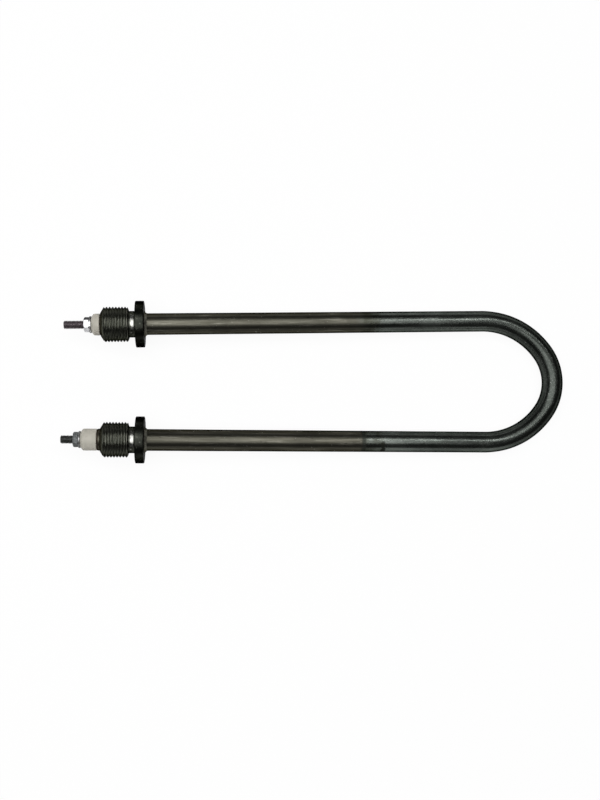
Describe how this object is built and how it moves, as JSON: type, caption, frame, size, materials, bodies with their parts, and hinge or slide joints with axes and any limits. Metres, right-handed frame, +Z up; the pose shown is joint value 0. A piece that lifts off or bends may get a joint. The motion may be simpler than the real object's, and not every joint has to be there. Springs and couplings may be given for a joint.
{
  "type": "tubular heating element",
  "caption": "U-bent steel-sheathed heating element with a threaded bulkhead fitting, ceramic bush, nut and threaded stud at the end of each leg.",
  "frame": {"origin": "middle of the footprint, at the height of the collars' lowest points", "axes": "+X from the terminals towards the bend, +Y towards the leg with the short ceramic bush, +Z up, square to the plane of the U"},
  "size_m": [0.31, 0.0976, 0.028],
  "materials": {
    "sheath_steel": "satin, dark brown-grey on the legs and blue-black oxide at the bend",
    "fitting_steel": "blackened, satin, turned",
    "braze_metal": "dull grey, as brazed",
    "pin_steel": "dull rolled thread",
    "nut_steel": "dull zinc plate",
    "washer_steel": "dull, darkened",
    "steatite": "unglazed, warm grey",
    "seal_resin": "matt cast resin",
    "magnesia": "packed powder",
    "heating_alloy": "bright drawn wire"
  },
  "bodies": {
    "root": {"sheath_tube": "sheath_steel", "magnesia_fill": "magnesia", "resistance_coil": "heating_alloy", "upper_fitting": "fitting_steel", "upper_braze_fillet": "braze_metal", "upper_terminal_pin": "pin_steel", "upper_end_seal": "seal_resin", "upper_insulator": "steatite", "upper_washer": "washer_steel", "upper_nut": "nut_steel", "lower_fitting": "fitting_steel", "lower_braze_fillet": "braze_metal", "lower_terminal_pin": "pin_steel", "lower_end_seal": "seal_resin", "lower_insulator": "steatite", "lower_washer": "washer_steel", "lower_nut": "nut_steel"}
  },
  "joints": []
}
